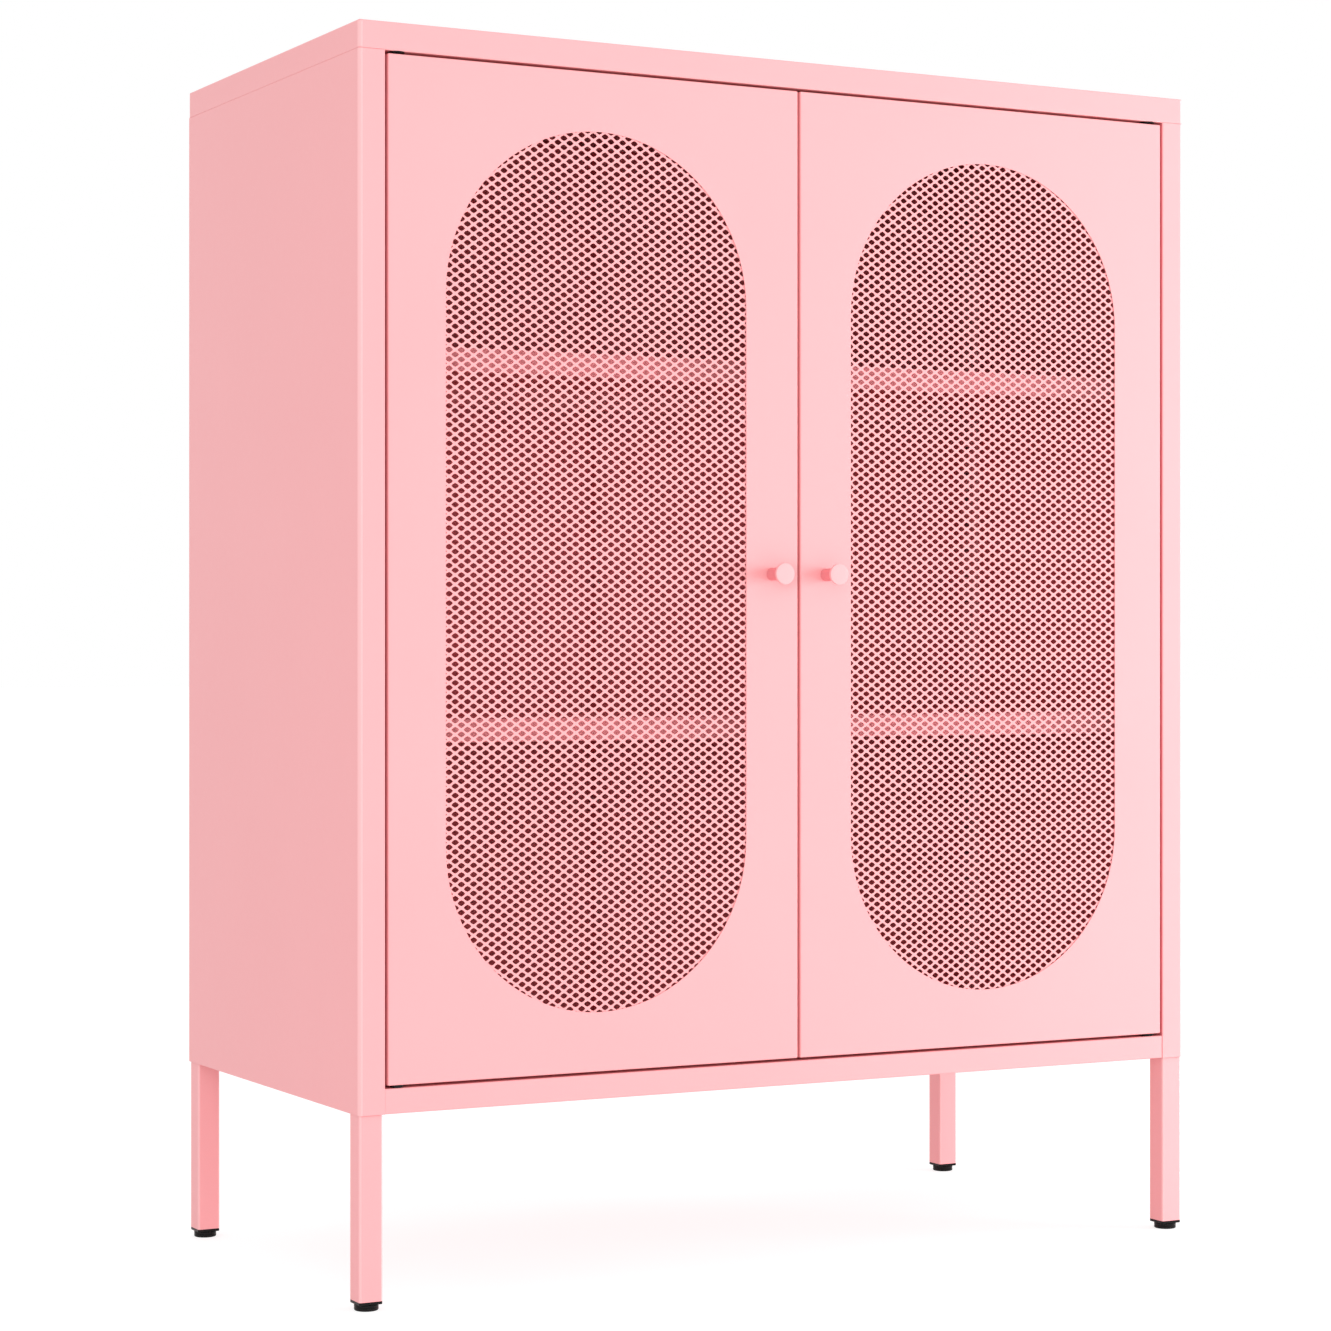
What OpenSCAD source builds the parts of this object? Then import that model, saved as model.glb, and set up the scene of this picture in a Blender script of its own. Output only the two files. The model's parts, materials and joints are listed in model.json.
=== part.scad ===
// Two-door sheet-steel cabinet on four legs. Each door has a tall, round-ended window
// closed by a perforated sheet. Millimetres, +Z up, doors facing -Y. The origin lies on
// the floor under the middle of the bounding box, which includes the door knobs.
// Pieces that come in a left and a right hand are drawn for the left and mirrored.

/* [Body] */
// Width across the side panels
body_w = 800; // [640:1:1000]
// Depth from the door faces to the back
body_d = 390; // [320:1:500]
// Height of the body without its legs
body_h = 861; // [720:1:1100]
// Thickness of the folded sheet steel
sheet = 0.8; // [0.6:0.1:1.2]
// Height of the top cap and width of the front stiles
frame_w = 22.4; // [21:0.2:30]
// Height of the base tray
tray_h = 20; // [18:0.5:26]
// Outside radius of the folded front corners
bend_r = 3; // [2:0.5:4]
// Depth of the jamb behind each stile
jamb_d = 24; // [20:1:28]
// Width of the jamb's rear lip
jamb_lip = 12; // [8:1:14]
// Width of the lips folded in round the cap and the tray
lip_w = 16; // [14:1:20]
// Depth of the cap's front lip, which carries the hinge bushes and the catches
front_lip = 40; // [38:1:60]
// Width of the side panels' flanges that meet the cap and the tray
flange_w = 18; // [17:1:24]
// Depth of the folds round the back panels
back_fold = 12; // [10:1:16]
// Setback of the tray's front and rear from the stiles
tray_set = 0.5; // [0:0.1:1]

/* [Doors] */
// Gap all round each door
door_gap = 2.4; // [2.2:0.1:3.5]
// Thickness of a door, face to rear lip
door_t = 18; // [16:0.5:22]
// Width of the door's rear lip
door_lip = 14; // [10:1:20]
// Solid margin of the door on each side of its window
window_side = 49.8; // [49:0.2:90]
// Solid margin of the door above and below its window
window_end = 48.4; // [44:0.2:120]
// Thickness of the perforated sheet
mesh_t = 0.8; // [0.5:0.1:1.5]
// Overlap of the perforated sheet behind the door face
mesh_rim = 8; // [4:1:12]

/* [Door hinges] */
// Pivot axis behind the door face
pivot_back = 7; // [6.5:0.1:7.5]
// Pivot axis in from the door's hinge edge
pivot_in = 10; // [10:0.5:14]
// Diameter of the pivot pin and bolt
pin_d = 6; // [5:0.5:6.5]
// Diameter of the collar on the pin and on the bolt
collar_d = 10; // [9:0.5:11]
// Wall of the hinge bushes
bush_wall = 1.5; // [1:0.1:2]
// Thickness of the bush flanges
bush_flange = 1; // [0.8:0.1:1.2]
// Length of a bush beyond the sheet that holds it
bush_l = 5; // [3:0.5:8]
// Height of the bolt's collar
collar_h = 1.5; // [1:0.1:3]
// Distance from the door's top edge to the bolt bracket's tab
bolt_drop = 34; // [30:1:50]
// Length of the bolt below its bracket
bolt_tail = 16; // [14:1:30]
// Thickness of the bolt bracket
bracket_t = 1.5; // [1:0.1:2]
// Wire of the bolt spring
spring_wire = 1; // [0.8:0.1:1.2]
// Coils in the bolt spring
spring_coils = 8; // [5:1:12]

/* [Knobs and catches] */
// Reach of a knob from the door face
knob_reach = 22.5; // [20:0.5:35]
// Diameter of the knob's head
knob_d = 17.8; // [16:0.2:28]
// Thickness of the knob's head
knob_rim = 2.8; // [2:0.2:6]
// Diameter of the knob's stem
knob_stem = 10.6; // [9:0.2:13]
// Knob in from the door's meeting edge
knob_in = 25.1; // [20:0.1:32]
// Strike plate's centre in from the door's meeting edge
strike_in = 35; // [32:1:60]
// Width of a strike plate
strike_w = 26; // [20:1:32]
// Height of a strike plate
strike_h = 11; // [8:0.5:13]
// Thickness of a strike plate
strike_t = 1.2; // [1:0.1:2]
// Width of a catch between its ears
catch_w = 28; // [24:1:34]
// Depth of a catch
catch_d = 14; // [12:0.5:16]
// Height of a catch below its ears
catch_h = 12; // [10:0.5:14]
// Thickness of the catch's ears
ear_t = 2.5; // [2:0.1:3]
// Reach of each ear beyond the catch
ear_w = 10; // [9:0.5:14]

/* [Shelves] */
// Height of the folds round a shelf
shelf_h = 19; // [14:0.5:26]
// Distance from the door faces to the front of a shelf
shelf_back = 30; // [26:1:44]
// Width of the hem under a shelf's front fold
shelf_hem = 10; // [6:1:20]
// Gap between a shelf's end and its slotted strip
shelf_gap = 1.2; // [0.8:0.1:2]
// Depth of the slotted strips
strip_h = 5; // [4.5:0.5:6]
// Width of the slotted strips
strip_w = 24; // [20:1:30]
// Front strip behind the door faces
strip_front = 45; // [40:1:60]
// Rear strip ahead of the back
strip_rear = 36; // [30:1:50]
// Pitch of the slots
slot_pitch = 25; // [20:1:40]
// Height of the first slot above the cabinet floor
slot_first = 45; // [30:1:80]
// Length of a slot
slot_w = 12; // [10:0.5:16]
// Height of a slot
slot_h = 3.4; // [3:0.1:4]
// Slot that carries the lower shelf
lower_slot = 9; // [2:1:12]
// Slot that carries the upper shelf
upper_slot = 21; // [14:1:22]
// Thickness of a shelf clip
clip_t = 2; // [1.5:0.1:2.4]
// Reach of a shelf clip under the shelf
clip_reach = 14; // [10:1:20]
// Length of a clip's leg down the strip
clip_leg = 14; // [10:1:18]

/* [Legs and feet] */
// Length of leg below the body
leg_l = 147; // [100:1:200]
// Side of the square leg tube
leg_w = 20; // [16:0.5:22]
// Wall of the leg tube
leg_wall = 1.2; // [1:0.1:2]
// Corner radius of the leg tube
leg_r = 1.6; // [1.4:0.1:2.5]
// Gap between leg and body skin
leg_gap = 0.3; // [0.25:0.05:1]
// Side of the square mounting plate
plate_w = 62; // [60:1:70]
// Thickness of the mounting plate
plate_t = 2; // [1.5:0.1:3]
// Thickness of the end plug's rim
plug_rim = 2.3; // [1.5:0.1:4]
// Depth of the end plug in the tube
plug_l = 14; // [10:1:25]
// Diameter of the foot pad
pad_d = 19.5; // [18:0.5:30]
// Height of the foot pad
pad_h = 5; // [4.5:0.1:8]
// Diameter of the levelling stud
stud_d = 8; // [6:0.5:8.5]
// Length of the levelling stud above its pad
stud_l = 30; // [26:1:50]
// Diameter of the stud's head inside the pad
stud_head_d = 12; // [11.5:0.5:14]
// Thickness of the stud's head
stud_head_h = 1.8; // [1.4:0.1:2]

/* [Fasteners] */
// Leg bolt diameter
leg_bolt_d = 6; // [5:1:8]
// Panel screw diameter
panel_screw_d = 5; // [4:0.5:5.5]
// Small screw diameter
small_screw_d = 4; // [3:0.5:4.5]
// Distance between the outer panel screws on each flange
screw_span = 200; // [120:5:215]
// Diameter of the wall fixing holes
wall_hole_d = 6.5; // [5:0.5:8]
// Distance between the wall fixing holes
wall_span = 500; // [300:10:560]

/* [Fits] */
// Clearance between sheet parts that lie side by side
seam_fit = 0.15; // [0.05:0.05:0.3]
// Radial clearance of a running pin
run_fit = 0.06; // [0.03:0.01:0.1]
// Radial clearance of a screw or bush in its hole
hole_fit = 0.1; // [0.05:0.05:0.3]
// Gap between faces that move past each other
face_gap = 0.2; // [0.1:0.05:0.3]

/* [Hidden] */
$fn = 48;
powder_coat = "lightpink";
zinc = "silver";
black_steel = "#2b2b2b";
black_plastic = "#1c1c1c";
magnet_grey = "dimgray";
LEFT = -1;
RIGHT = 1;
FRONT = -1;
REAR = 1;
eps = 1;

// Levels
base_z = leg_l + plug_rim + face_gap + pad_h;
floor_z = base_z + tray_h;
top_z = base_z + body_h;
cap_z = top_z - frame_w;
door_z0 = floor_z + door_gap;
door_z1 = cap_z - door_gap;
door_h = door_z1 - door_z0;
door_mid_z = (door_z0 + door_z1) / 2;
plate_z = floor_z - sheet - plate_t;
tube_z = base_z - leg_l;

// Planes
front_y = (knob_reach - body_d) / 2;
back_y = front_y + body_d;
mid_y = front_y + body_d / 2;
side_x = -body_w / 2;
stile_x = side_x + frame_w;
door_x0 = stile_x + door_gap;
door_x1 = -door_gap / 2;
door_w = door_x1 - door_x0;
door_mid_x = (door_x0 + door_x1) / 2;
pivot_x = door_x0 + pivot_in;
pivot_y = front_y + pivot_back;
window_w = door_w - 2 * window_side;
window_h = door_h - 2 * window_end;
knob_x = door_x1 - knob_in;
strike_x = door_x1 - strike_in;
strike_y = front_y + door_t;
strike_inset = 2;
strike_z = door_z1 - strike_h / 2 - strike_inset;
catch_gap = 0.3;
catch_y = strike_y + strike_t + catch_gap;
back_in_y = back_y - 2 * sheet;

// Hinge hardware
pin_r = pin_d / 2;
bore_r = pin_r + run_fit;
bush_r = bore_r + bush_wall;
bush_flange_r = bush_r + 2;
tab_z = door_z1 - bolt_drop;
bolt_collar_z = door_z1 - sheet - face_gap - collar_h;

// Fasteners: [diameter, head diameter, head height]
leg_bolt = [leg_bolt_d, leg_bolt_d * 1.75, leg_bolt_d * 0.55];
panel_screw = [panel_screw_d, panel_screw_d * 1.8, panel_screw_d * 0.5];
small_screw = [small_screw_d, small_screw_d * 2, small_screw_d * 0.6];
nut_gap = 0.1;
panel_screw_in = flange_w - panel_screw_d * 1.3;
panel_screw_y = [mid_y - screw_span / 2, mid_y, mid_y + screw_span / 2];
seam_fold_y = back_in_y - back_fold / 2;
back_screw_x = side_x + frame_w / 2;
back_screw_z = [for (k = [1, 3, 5]) floor_z + (cap_z - floor_z) * k / 6];
seam_screw_z = [for (k = [1, 2, 3]) floor_z + (cap_z - floor_z) * k / 4];

// Legs: distances are from the tube's outer faces
leg_inset = sheet + leg_gap;
leg_set = leg_inset + tray_set;
plate_clear = 6;
leg_x = side_x + leg_inset + leg_w / 2;
plate_x = side_x + leg_inset + plate_w / 2;
bolt_near = 13;
bolt_past_door = 31;
bolt_edge = 10;
bolt_far = plate_w - bolt_edge;
leg_bolt_spots = [[bolt_far, bolt_past_door], [bolt_near, bolt_far], [bolt_far, bolt_far]];

// Shelves and strips
strip_x = side_x + sheet + strip_h;
strip_y = [front_y + strip_front, back_y - strip_rear - strip_w];
slot_count = floor((cap_z - floor_z - 2 * slot_first) / slot_pitch) + 1;
shelf_x = strip_x + shelf_gap;
shelf_y0 = front_y + shelf_back;
shelf_y1 = back_in_y - back_fold - 2;
hook_in = sheet + clip_t;
hook_rise = 3;

function slot_z(n) = floor_z + slot_first + n * slot_pitch;
function shelf_z(n) = slot_z(n) + clip_t / 2 + face_gap / 2;
function leg_y(end) = (end == FRONT ? front_y : back_y) - end * (leg_set + leg_w / 2);

// ---------- Helpers ----------

// Children are drawn for the left and mirrored for the right
module on_side(side) {
    if (side == RIGHT) mirror([1, 0, 0]) children();
    else children();
}

// Children are drawn for the front and mirrored about the body's middle for the rear
module at_end(end) {
    if (end == REAR) translate([0, 2 * mid_y, 0]) mirror([0, 1, 0]) children();
    else children();
}

module both_sides() {
    for (side = [LEFT, RIGHT]) on_side(side) children();
}

// Box between two opposite corners
module box(low, high) {
    translate(low) cube(high - low);
}

// Centred rectangle with round corners
module round_rect(w, d, r) {
    square([w - 2 * r, d], center = true);
    square([w, d - 2 * r], center = true);
    for (x = [-1, 1], y = [-1, 1])
        translate([x * (w / 2 - r), y * (d / 2 - r)]) circle(r);
}

// Rectangle from the origin whose corner at the origin is round
module bent_rect(w, d, r) {
    translate([r, 0]) square([w - r, d]);
    translate([0, r]) square([w, d - r]);
    translate([r, r]) circle(r);
}

// Upright slot shape with full round ends
module stadium(w, h) {
    square([w, h - w], center = true);
    for (z = [-1, 1]) translate([0, z * (h - w) / 2]) circle(d = w, $fn = 96);
}

// Extrudes a shape drawn in X and Z from its plane at y towards the back
module from_front(y, depth) {
    translate([0, y + depth, 0]) rotate([90, 0, 0]) linear_extrude(depth) children();
}

// Screw with its head's seat at the origin, its head above and its shank below
module screw(kind, length) {
    cylinder(d = kind[1], h = kind[2]);
    translate([0, 0, -length]) cylinder(d = kind[0], h = length + kind[2] / 2);
}

// Hexagon nut that sits on the origin, with a clear bore for its screw
module nut(d) {
    difference() {
        cylinder(d = d * 1.9, h = d * 0.8, $fn = 6);
        translate([0, 0, -eps]) cylinder(r = d / 2 + nut_gap, h = d + 2 * eps);
    }
}

// Through hole along Z from z down to z - depth
module drill(d, depth) {
    translate([0, 0, -depth]) cylinder(r = d / 2 + hole_fit, h = depth);
}

// ---------- Body ----------

module top_panel() color(powder_coat) difference() {
    translate([0, mid_y, cap_z]) linear_extrude(frame_w) round_rect(body_w, body_d, bend_r);
    translate([0, mid_y, cap_z + sheet]) linear_extrude(frame_w - 2 * sheet)
        round_rect(body_w - 2 * sheet, body_d - 2 * sheet, bend_r - sheet);
    box([side_x + lip_w, front_y + front_lip, cap_z - eps],
        [-side_x - lip_w, back_y - lip_w, cap_z + sheet + eps]);
    both_sides() {
        translate([pivot_x, pivot_y, cap_z + 2 * sheet]) drill(2 * bush_r, 3 * sheet);
        for (y = panel_screw_y)
            translate([side_x + panel_screw_in, y, cap_z + 2 * sheet])
                drill(panel_screw_d, 3 * sheet);
        for (x = [-1, 1])
            translate([strike_x + x * (catch_w + ear_w) / 2, catch_y + catch_d / 2, cap_z + 2 * sheet])
                drill(small_screw_d, 3 * sheet);
        translate([-wall_span / 2, back_y + eps, cap_z + frame_w / 2]) rotate([90, 0, 0])
            cylinder(d = wall_hole_d, h = sheet + 2 * eps);
    }
}

module bottom_panel() color(powder_coat) difference() {
    union() {
        translate([0, mid_y, floor_z - sheet]) linear_extrude(sheet) {
            round_rect(body_w - 2 * (sheet + seam_fit), body_d - 2 * (sheet + seam_fit), bend_r);
            square([-2 * (stile_x + seam_fit), body_d - 2 * tray_set], center = true);
        }
        for (end = [FRONT, REAR]) at_end(end) {
            box([stile_x + seam_fit, front_y + tray_set, base_z],
                [-stile_x - seam_fit, front_y + tray_set + sheet, floor_z]);
            box([stile_x + seam_fit, front_y + tray_set, base_z],
                [-stile_x - seam_fit, front_y + tray_set + lip_w, base_z + sheet]);
        }
    }
    both_sides() {
        translate([pivot_x, pivot_y, floor_z + eps]) drill(pin_d, sheet + 2 * eps);
        for (y = panel_screw_y)
            translate([side_x + panel_screw_in, y, floor_z + eps])
                drill(panel_screw_d, sheet + 2 * eps);
        for (end = [FRONT, REAR], spot = leg_bolt_spots) at_end(end)
            at_leg_bolt(spot, floor_z + eps) drill(leg_bolt_d, sheet + 2 * eps);
    }
}

// Section of the left side panel: skin, stile, jamb with its lip, and rear flange
module side_section() {
    difference() {
        translate([side_x, front_y]) bent_rect(frame_w, body_d, bend_r);
        translate([side_x + sheet, front_y + sheet])
            bent_rect(frame_w - 2 * sheet, body_d - 2 * sheet, bend_r - sheet);
        translate([stile_x - 2 * sheet, front_y + jamb_d])
            square([3 * sheet, body_d - jamb_d - sheet]);
    }
    translate([stile_x - jamb_lip, front_y + jamb_d - sheet]) square([jamb_lip, sheet]);
}

module slotted_strip(y) {
    difference() {
        box([side_x, y, floor_z], [strip_x, y + strip_w, cap_z - sheet]);
        box([side_x + sheet, y + sheet, floor_z - eps],
            [strip_x - sheet, y + strip_w - sheet, cap_z - sheet + eps]);
        for (n = [0 : slot_count - 1])
            translate([strip_x - sheet / 2, y + strip_w / 2, slot_z(n)])
                cube([2 * sheet, slot_w, slot_h], center = true);
    }
}

module side_panel(side) color(powder_coat) on_side(side) difference() {
    union() {
        translate([0, 0, base_z]) linear_extrude(cap_z - base_z) side_section();
        box([side_x, front_y + jamb_d, cap_z - sheet],
            [side_x + flange_w, shelf_y1, cap_z]);
        box([side_x, front_y + leg_set + plate_w + plate_clear, floor_z - 2 * sheet],
            [side_x + flange_w, back_y - leg_set - plate_w - plate_clear, floor_z - sheet]);
        for (y = strip_y) slotted_strip(y);
    }
    box([stile_x - jamb_lip - sheet, front_y + sheet, base_z - eps],
        [stile_x + eps, front_y + jamb_d + eps, floor_z]);
    for (y = panel_screw_y) {
        translate([side_x + panel_screw_in, y, cap_z + eps]) drill(panel_screw_d, sheet + 2 * eps);
        translate([side_x + panel_screw_in, y, floor_z]) drill(panel_screw_d, 3 * sheet);
    }
    for (z = back_screw_z)
        translate([back_screw_x, back_y + eps, z]) rotate([-90, 0, 0])
            drill(small_screw_d, sheet + 2 * eps);
}

module back_panel(side) color(powder_coat) on_side(side) difference() {
    box([side_x + sheet + seam_fit, back_in_y - back_fold, floor_z],
        [-seam_fit / 2, back_y - sheet, cap_z]);
    box([side_x + 2 * sheet + seam_fit, back_in_y - back_fold - eps, floor_z + sheet],
        [-seam_fit / 2 - sheet, back_in_y, cap_z - sheet]);
    for (z = back_screw_z)
        translate([back_screw_x, back_y, z]) rotate([-90, 0, 0]) drill(small_screw_d, 4 * sheet);
    for (z = seam_screw_z)
        translate([eps, seam_fold_y, z]) rotate([0, 90, 0]) drill(small_screw_d, 2 * sheet + 2 * eps);
}

// ---------- Legs and feet ----------

// Places children on a front left leg bolt's axis
module at_leg_bolt(spot, z) {
    translate([side_x + leg_inset + spot[0], front_y + leg_set + spot[1], z]) children();
}

module leg(side, end) color(powder_coat) on_side(side) at_end(end) difference() {
    union() {
        translate([plate_x, front_y + leg_set + plate_w / 2, plate_z])
            linear_extrude(plate_t) round_rect(plate_w, plate_w, leg_r);
        translate([leg_x, leg_y(FRONT), tube_z]) linear_extrude(plate_z - tube_z + plate_t / 2)
            round_rect(leg_w, leg_w, leg_r);
    }
    translate([leg_x, leg_y(FRONT), tube_z - eps]) linear_extrude(plate_z - tube_z + eps)
        round_rect(leg_w - 2 * leg_wall, leg_w - 2 * leg_wall, 0.3);
    for (spot = leg_bolt_spots)
        at_leg_bolt(spot, plate_z + plate_t + eps) drill(leg_bolt_d, plate_t + 2 * eps);
    if (end == FRONT)
        translate([pivot_x, pivot_y, plate_z + plate_t + eps]) drill(pin_d, plate_t + 2 * eps);
}

module end_plug(side, end) color(black_plastic) on_side(side)
translate([leg_x, leg_y(end), tube_z]) difference() {
    union() {
        translate([0, 0, -plug_rim]) linear_extrude(plug_rim) round_rect(leg_w, leg_w, leg_r);
        linear_extrude(plug_l)
            round_rect(leg_w - 2 * (leg_wall + hole_fit), leg_w - 2 * (leg_wall + hole_fit), 0.6);
    }
    translate([0, 0, -plug_rim - eps])
        cylinder(r = stud_d / 2 + run_fit, h = plug_rim + plug_l + 2 * eps);
}

stud_head_z = (pad_h - stud_head_h) / 2 - 0.2;

module foot_pad(side, end) color(black_plastic) on_side(side)
translate([leg_x, leg_y(end), 0]) difference() {
    rotate_extrude() polygon([
        [0, 0], [pad_d / 2 - 1, 0], [pad_d / 2, 1], [pad_d / 2, pad_h - 0.6],
        [pad_d / 2 - 0.6, pad_h], [0, pad_h]
    ]);
    translate([0, 0, stud_head_z - run_fit])
        cylinder(r = stud_head_d / 2 + run_fit, h = stud_head_h + 2 * run_fit);
    translate([0, 0, pad_h / 2]) cylinder(r = stud_d / 2 + run_fit, h = pad_h);
}

module foot_stud(side, end) color(zinc) on_side(side)
translate([leg_x, leg_y(end), stud_head_z]) {
    cylinder(d = stud_head_d, h = stud_head_h);
    cylinder(d = stud_d, h = stud_l);
}

module leg_bolts() color(zinc) both_sides() for (end = [FRONT, REAR], spot = leg_bolt_spots)
    at_end(end) at_leg_bolt(spot, floor_z) screw(leg_bolt, sheet + plate_t + leg_bolt_d);

module leg_nuts() color(zinc) both_sides() for (end = [FRONT, REAR], spot = leg_bolt_spots)
    at_end(end) at_leg_bolt(spot, plate_z) mirror([0, 0, 1]) nut(leg_bolt_d);

// ---------- Body fasteners ----------

module panel_screws() color(zinc) both_sides() for (y = panel_screw_y)
    translate([side_x + panel_screw_in, y, 0]) {
        translate([0, 0, cap_z - sheet]) mirror([0, 0, 1]) screw(panel_screw, 2 * sheet + panel_screw_d);
        translate([0, 0, floor_z]) screw(panel_screw, 2 * sheet + panel_screw_d);
    }

module panel_nuts() color(zinc) both_sides() for (y = panel_screw_y)
    translate([side_x + panel_screw_in, y, 0]) {
        translate([0, 0, cap_z + sheet]) nut(panel_screw_d);
        translate([0, 0, floor_z - 2 * sheet]) mirror([0, 0, 1]) nut(panel_screw_d);
    }

module back_screws() color(zinc) both_sides() for (z = back_screw_z)
    translate([back_screw_x, back_in_y, z]) rotate([90, 0, 0]) screw(small_screw, 2 * sheet - 0.05);

module seam_screws() color(zinc) for (z = seam_screw_z)
    translate([-sheet - seam_fit / 2, seam_fold_y, z]) rotate([0, -90, 0])
        screw(small_screw, 2 * sheet + seam_fit + small_screw_d);

// ---------- Hinges ----------

module lower_pivot(side) color(black_steel) on_side(side) translate([pivot_x, pivot_y, 0]) {
    translate([0, 0, plate_z - collar_h]) cylinder(d = collar_d, h = collar_h);
    translate([0, 0, plate_z - collar_h / 2])
        cylinder(r = pin_r, h = door_z0 + sheet + bush_l + collar_h - plate_z);
    translate([0, 0, floor_z]) cylinder(d = collar_d, h = door_gap - bush_flange - face_gap);
}

// Flanged bush, flange below the origin and body above it
module bush() color(black_plastic) difference() {
    union() {
        translate([0, 0, -bush_flange]) cylinder(r = bush_flange_r, h = bush_flange);
        cylinder(r = bush_r, h = sheet + bush_l);
    }
    translate([0, 0, -bush_flange - eps]) cylinder(r = bore_r, h = bush_flange + sheet + bush_l + 2 * eps);
}

module upper_bush(side) on_side(side) translate([pivot_x, pivot_y, cap_z]) bush();

module lower_bush(side) on_side(side) translate([pivot_x, pivot_y, door_z0]) bush();

module bolt_bracket(side) color(zinc) on_side(side) difference() {
    union() {
        box([door_x0 + sheet, front_y + sheet, tab_z - bracket_t],
            [door_x0 + sheet + bracket_t, front_y + door_t - 2 * sheet, door_z1 - sheet]);
        box([door_x0 + sheet, front_y + sheet, tab_z - bracket_t],
            [pivot_x + collar_d / 2 + 2, front_y + door_t - 2 * sheet, tab_z]);
    }
    translate([pivot_x, pivot_y, tab_z - bracket_t - eps]) cylinder(r = bore_r, h = bracket_t + 2 * eps);
}

module hinge_bolt(side) color(black_steel) on_side(side) translate([pivot_x, pivot_y, 0]) {
    bolt_foot_z = tab_z - bracket_t - bolt_tail;
    translate([0, 0, bolt_foot_z]) cylinder(r = pin_r, h = cap_z + sheet + bush_l - bolt_foot_z);
    translate([0, 0, bolt_collar_z]) cylinder(d = collar_d, h = collar_h);
    translate([0, 0, bolt_foot_z]) cylinder(d = collar_d, h = 2 * collar_h);
}

// Round wire wound up the Z axis from the origin
module coil_spring(wire, mean_r, length, coils) {
    sides = 8;
    steps = 18;
    rings = coils * steps;
    rise = length - wire;
    ring_points = [for (i = [0 : rings], k = [0 : sides - 1])
        let (turn = 360 * i / steps, a = 360 * k / sides, r = mean_r + wire / 2 * cos(a))
            [r * cos(turn), r * sin(turn), wire / 2 + rise * i / rings + wire / 2 * sin(a)]];
    skin = [for (i = [0 : rings - 1], k = [0 : sides - 1])
        let (a = i * sides + k, b = i * sides + (k + 1) % sides)
            [a, a + sides, b + sides, b]];
    first_cap = [for (k = [0 : sides - 1]) k];
    last_cap = [for (k = [sides - 1 : -1 : 0]) rings * sides + k];
    polyhedron(ring_points, concat(skin, [first_cap, last_cap]));
}

module bolt_spring(side) color(zinc) on_side(side)
translate([pivot_x, pivot_y, tab_z + face_gap / 2])
    coil_spring(spring_wire, pin_r + run_fit + spring_wire / 2 + 0.4,
        bolt_collar_z - tab_z - face_gap, spring_coils);

// ---------- Doors ----------

module door(side) color(powder_coat) on_side(side) difference() {
    box([door_x0, front_y, door_z0], [door_x1, front_y + door_t, door_z1]);
    box([door_x0 + sheet, front_y + sheet, door_z0 + sheet],
        [door_x1 - sheet, front_y + door_t - sheet, door_z1 - sheet]);
    box([door_x0 + door_lip, front_y + sheet, door_z0 + door_lip],
        [door_x1 - door_lip, front_y + door_t + eps, door_z1 - door_lip]);
    translate([door_mid_x, 0, door_mid_z]) from_front(front_y - eps, sheet + 2 * eps)
        stadium(window_w, window_h);
    translate([pivot_x, pivot_y, door_z0 + 2 * sheet]) drill(2 * bush_r, 3 * sheet);
    translate([pivot_x, pivot_y, door_z1 - 2 * sheet]) cylinder(r = bore_r, h = 3 * sheet);
    translate([knob_x, front_y - eps, door_mid_z]) rotate([90, 0, 0])
        drill(small_screw_d, sheet + 2 * eps);
}

module mesh(side) color(powder_coat) on_side(side)
translate([door_mid_x, 0, door_mid_z]) from_front(front_y + sheet, mesh_t)
    stadium(window_w + 2 * mesh_rim, window_h + 2 * mesh_rim);

knob_hole_l = knob_reach / 2;
knob_flare = 5;
knob_round = 0.7;

module knob(side) color(powder_coat) on_side(side)
translate([knob_x, front_y, door_mid_z]) rotate([90, 0, 0]) difference() {
    rotate_extrude() polygon([
        [0, 0], [knob_stem / 2, 0], [knob_stem / 2, knob_reach - knob_rim - knob_flare],
        [knob_d / 2 - knob_round, knob_reach - knob_rim], [knob_d / 2, knob_reach - knob_rim + knob_round],
        [knob_d / 2, knob_reach - knob_round], [knob_d / 2 - knob_round, knob_reach], [0, knob_reach]
    ]);
    translate([0, 0, -eps]) cylinder(r = small_screw_d / 2 + run_fit, h = knob_hole_l + eps);
}

module knob_screw(side) color(zinc) on_side(side)
translate([knob_x, front_y + sheet, door_mid_z]) rotate([-90, 0, 0])
    screw(small_screw, sheet + knob_hole_l - 1);

module strike_plate(side) color(zinc) on_side(side)
translate([strike_x - strike_w / 2, strike_y, strike_z - strike_h / 2])
    cube([strike_w, strike_t, strike_h]);

// ---------- Catches ----------

magnet_wall = 3;
magnet_floor = 2;
magnet_w = catch_w - 2 * magnet_wall;
magnet_d = 4;
magnet_h = catch_h - magnet_floor - magnet_wall;

module catch_housing(side) color(black_plastic) on_side(side)
translate([strike_x, catch_y, cap_z - ear_t]) difference() {
    union() {
        translate([-catch_w / 2, 0, -catch_h]) cube([catch_w, catch_d, catch_h + ear_t]);
        translate([-catch_w / 2 - ear_w, 0, 0]) cube([catch_w + 2 * ear_w, catch_d, ear_t]);
    }
    translate([-magnet_w / 2 - hole_fit, -eps, magnet_floor - catch_h - hole_fit])
        cube([magnet_w + 2 * hole_fit, magnet_d + eps, magnet_h + 2 * hole_fit]);
    for (x = [-1, 1]) translate([x * (catch_w + ear_w) / 2, catch_d / 2, ear_t + eps])
        drill(small_screw_d, ear_t + 2 * eps);
}

module catch_magnets() color(magnet_grey) both_sides()
translate([strike_x - magnet_w / 2, catch_y, cap_z - ear_t - catch_h + magnet_floor])
    cube([magnet_w, magnet_d, magnet_h]);

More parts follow.
